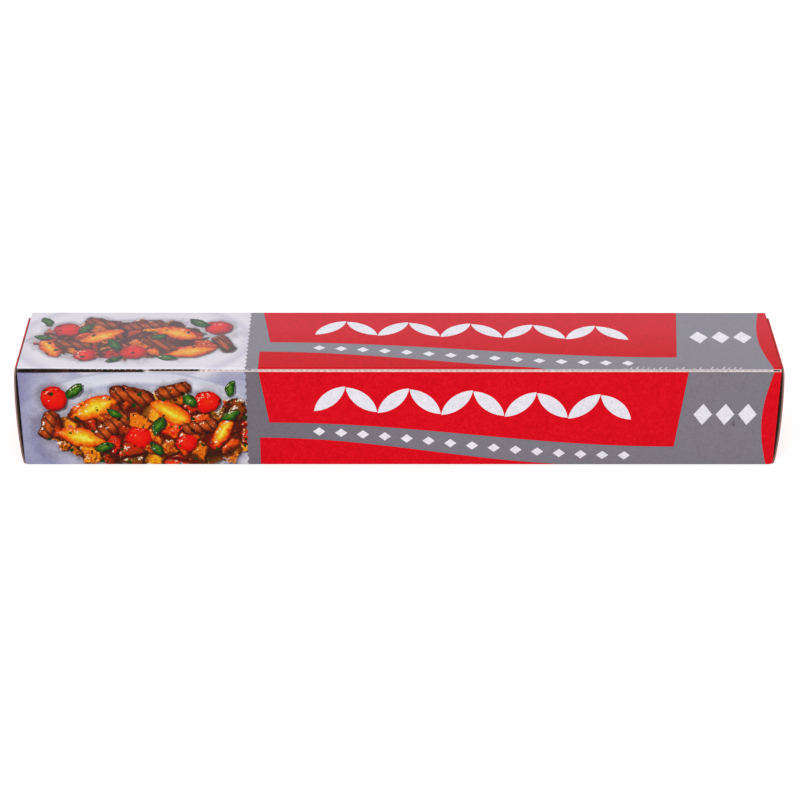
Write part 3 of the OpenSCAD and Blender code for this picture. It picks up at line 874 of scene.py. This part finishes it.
def layFood(f, at, here, picture):  # the lower kinds first
    crust = at["crust"]
    tint = f.add("SeparateColor", None, {0: here["cell"]})
    bits = f.ramp(tint * 0.9 + (crust - 0.5) * 0.45 + 0.05, chunkTones)
    bits = f.mix(here["crevice"] * 0.8, bits, paint["crevice"])
    picture = f.mix(f.rise(here["heap"], 0.2, 0.6), picture, bits)
    inner = 1 - here["crevice"]
    for kind, s in foods.items():
        near = here["gaps"][kind]
        shown = (here["domes"][kind] > here["top"] - 0.01) * (near < 1)
        inner = inner + shown * (1 - f.rise(near, 0.62, 0.9) - inner)
        skin = f.ramp(near * 0.75 + (crust - 0.45) * 0.9, s["tones"])
        if kind == "slices":  # marks of the grill
            along = at["x"] * 0.8 + at["up"] * 0.6 + crust * 1.5
            bars = (along / paint["grillPitch"]).fract()
            bar = 1 - f.rise(abs(bars - 0.5), 0.10, 0.2)
            skin = f.mix(bar * 0.65, skin, paint["charred"])
        picture = f.mix(shown, picture, skin)
    return picture, inner


def lightFood(f, at, here, there, inner, picture):  # from the upper left, with glints on what is wet
    food = here["food"]
    fine = (at["crustLit"] - at["crust"]) * 2.2 * food
    slope = ((there["top"] - here["top"]) * 0.5).most(-0.45) + fine
    picture = f.mix(f.rise(slope, 0.05, 1.1) * 0.72, picture, paint["shade"])
    facing = slope * -1
    warm = f.rise(facing, 0.2, 1.1) * food * (inner * 0.85 + 0.08)
    picture = f.mix(warm * 0.42, picture, paint["warm"])
    wet = f.grain(at["seeded"], 0.5, 2, 0.5)
    glint = f.rise(facing + (wet - 0.5) * 2.2, 0.5, 0.85) * food * inner
    return f.mix(glint * 0.8, picture, paint["glint"])


def seasoned(f, at, food, picture):  # green flecks and black specks
    torn = f.grain(at["seeded"], 0.7, 3, out=1)
    torn = f.vectorMaths("MULTIPLY_ADD", torn, (2.4, 2.4, 0), at["seeded"])
    fleck = f.add("TexVoronoi", None, {"Vector": torn, "Scale": 0.34}).socket.node
    parts = f.add("SeparateColor", None, {0: Wire(f, fleck.outputs["Color"])}).socket.node
    chosen, size = Wire(f, parts.outputs[0]), Wire(f, parts.outputs[1]) * 0.3 + 0.08
    inside = Wire(f, fleck.outputs["Distance"]) < size
    picture = f.mix(inside * (chosen < 0.3) * food, picture, paint["green"])
    return f.mix(inside * (chosen > 0.8) * food * 0.8, picture, paint["black"])


def enriched(f, dish, food, picture):  # deep shadows and clear colours
    rich = f.add("Gamma", None, {0: picture, 1: dish["depth"]})
    rich = f.vectorMaths("MINIMUM", f.scaled(rich, dish["lift"]), (0.9, 0.9, 0.9))
    return f.mix(food * 0.85, picture, rich)


# the printed picture ends in shallow scallops on a skin that ends in round ones
skinShape = {"scallop": 3.2, "row": 0.1, "thickness": 0.1, "arcSteps": 6, "cornerSteps": 5,
             "corner": 75, "printedDepth": 0.75, "printedEnd": redFields["edge"] - 1.5}


def beyondPicture(f, x, up):
    off = (up / skinShape["scallop"] + 0.5).fract() * 2 - 1
    line = (1 - off * off) * skinShape["printedDepth"] + skinShape["printedEnd"]
    return f.rise(x - line, -0.06, 0.06)


def paintDish(panel):
    dish = dishes[panel]
    gloss = panels[panel]["dish"][0]
    f = newFinish(panel + "Dish")
    place = f.place()
    axes = f.axes(place)
    x, y, z = axes
    up = heightUp(panel, y, z)
    flat, seeded = f.vector(x - blank["left"], up, 0), f.vector(x, up, dish["seed"])
    lit = f.vectorMaths("ADD", seeded, paint["crustLight"])
    # the place on the panel, and how rough the food is there and a step towards the light
    at = {"x": x, "up": up, "height": fullHeight(panel), "flat": flat, "seeded": seeded,
          "crust": f.grain(seeded, 0.7, 5, 0.68), "crustLit": f.grain(lit, 0.7, 5, 0.68)}
    wobble = f.vectorMaths("SUBTRACT", f.grain(seeded, 0.22, 3, out=1), (0.5, 0.5, 0.5))
    wobble = f.stretched(wobble, (paint["wobble"], paint["wobble"], 0))
    spot = f.vectorMaths("ADD", flat, wobble)
    here = landscape(f, dish, spot, at["height"])
    there = landscape(f, dish, f.vectorMaths("ADD", spot, paint["light"]), at["height"])

    picture, inner = layFood(f, at, here, layTable(f, dish, at, here))
    picture = lightFood(f, at, here, there, inner, picture)
    picture = seasoned(f, at, here["food"], picture)
    picture = enriched(f, dish, here["food"], picture)
    speck = f.grain(seeded, 2.2, 2, 0.7)
    specks = f.ramp(speck, [(0.3, paint["speckDark"]), (0.7, paint["speckLight"])])
    # with the lid's painted sheen
    picture = dusty(f, panel, "dish", y, f.mix(0.16, picture, specks, "OVERLAY"))
    grey = inkTone(f, panel, "grey", axes, printGrains(f, place))
    picture = f.mix(beyondPicture(f, x, up), picture, grey)
    bare = scuffs(f, panel, place, axes)
    picture = f.mix(bare, picture, cast["dishPaper"])
    # painted shade of the gap below the lid's front edge
    picture = paintedGapShade(f, place, axes, picture, panel == "lid")
    return f.surface({"Base Color": picture, "Roughness": speck * 0.1 + 0.4 + bare * 0.25,
                      "Specular IOR Level": gloss, "Normal": coatBump(f, place, speck)})


def arcPoints(centre, radius, start, end):
    steps = skinShape["arcSteps"]
    angles = [math.radians(start + (end - start) * i / steps) for i in range(steps + 1)]
    return [(centre[0] + radius * math.cos(a), centre[1] + radius * math.sin(a)) for a in angles]


def panelProfile(panel):  # the skin's outline in section, as (y, z), from its lower edge up
    fold, radius = blank["fold"], blank["fold"] + blank["ink"]
    if panel == "front":
        lower = arcPoints((blank["frontBoard"] + fold, fold), radius, 225, 180)
        return lower + [(blank["front"], blank["wallTop"])]
    level = blank["top"] - blank["ink"] - fold
    return (arcPoints((blank["lidFront"] + radius, level), radius, 180, 90)
            + arcPoints((blank["back"] - radius, level), radius, 90, 0))


def inRows(profile):  # with the longest stretch cut into rows
    lengths = [math.dist(a, b) for a, b in zip(profile, profile[1:])]
    flat = lengths.index(max(lengths))
    cuts = round(lengths[flat] / skinShape["row"])
    a, b = profile[flat], profile[flat + 1]
    rows = [(a[0] + (b[0] - a[0]) * i / cuts, a[1] + (b[1] - a[1]) * i / cuts)
            for i in range(cuts + 1)]
    return profile[:flat] + rows + profile[flat + 2:]


def makeSkin(panel):
    s = skinShape
    front = panel == "front"
    left = blank["left"] + blank["fold"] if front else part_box("lid_picture_pale")[0].x / mm
    bm = bmesh.new()
    column = [bm.verts.new((left * mm, y * mm, z * mm)) for y, z in inRows(panelProfile(panel))]
    chain = [bm.edges.new(pair) for pair in zip(column, column[1:])]
    out = bmesh.ops.extrude_edge_only(bm, edges=chain)["geom"]
    if front:  # and round the upright corner
        upright = [e for e in chain if min(v.co.z for v in e.verts) > (blank["fold"] - 0.01) * mm]
        pivot = (left * mm, (blank["frontBoard"] + blank["fold"]) * mm, 0)
        bmesh.ops.spin(bm, geom=upright, cent=pivot, axis=(0, 0, -1),
                       angle=math.radians(s["corner"]), steps=s["cornerSteps"])
    for v in (g for g in out if isinstance(g, bmesh.types.BMVert)):
        up = heightUp(panel, v.co.y / mm, v.co.z / mm)
        off = up - s["scallop"] * round(up / s["scallop"])
        v.co.x = (redFields["edge"] + math.sqrt(max(0, (s["scallop"] / 2) ** 2 - off * off))) * mm
    bmesh.ops.recalc_face_normals(bm, faces=bm.faces)
    outward = Vector((0, -1, 0)) if front else Vector((0, 0, 1))
    longest = max(bm.faces, key=lambda face: face.calc_area())
    if longest.normal.dot(outward) < 0:
        bmesh.ops.reverse_faces(bm, faces=bm.faces)
    bmesh.ops.solidify(bm, geom=bm.faces, thickness=s["thickness"] * mm)
    return meshObject(panel + "Picture", bm)


def makePictures():
    tones = ("pale", "red", "brown", "orange", "green")
    for panel, body in (("front", "carton"), ("lid", "lid")):
        skin = makeSkin(panel)
        skin.data.materials.append(paintDish(panel))
        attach(skin, body)
        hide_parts(*(f"{panel}_picture_{tone}" for tone in tones))


# the crease that joins the lid to the back panel

creaseShape = {"steps": 6, "board": 0.5}


def makeCrease():
    low, high = blank["wallTop"], lidInk[0].z / mm
    bm = bmesh.new()
    bmesh.ops.create_cube(bm, size=1)
    upright = [e for e in bm.edges if abs(e.verts[0].co.z - e.verts[1].co.z) > 0.5]
    bmesh.ops.subdivide_edges(bm, edges=upright, cuts=creaseShape["steps"])
    thick = creaseShape["board"] + blank["ink"]
    bmesh.ops.scale(bm, vec=(2 * blank["right"] * mm, thick * mm, (high - low) * mm), verts=bm.verts)
    bmesh.ops.translate(bm, vec=(0, (blank["back"] - thick / 2) * mm, (low + high) / 2 * mm),
                        verts=bm.verts)
    crease = meshObject("lidCrease", bm)
    crease.data.materials.append(inkMaterial("back", "grey"))
    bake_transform(crease)


placeCamera()
lightStudio()
layFloor()
print("stage ready")
dressPrint()
dress("carton", boardMaterial("trayBoard", trayEdges), "board")
dress("lid", boardMaterial("lidBoard", lidEdges), "board")
dress("cutter_strip", stripMaterial(), "cutter_metal")
dress("core_tube", coreMaterial(), "core_board")
print("board, print and metal dressed")
foil = foilMaterial()
roll, looseEnd = makeRoll(), makeLooseEnd()
for piece in (roll, looseEnd):
    piece.data.materials.append(foil)
    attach(piece, "carton")
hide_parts("foil_roll")
print("foil wound")
makePictures()
makeCrease()
print("pictures and crease made")
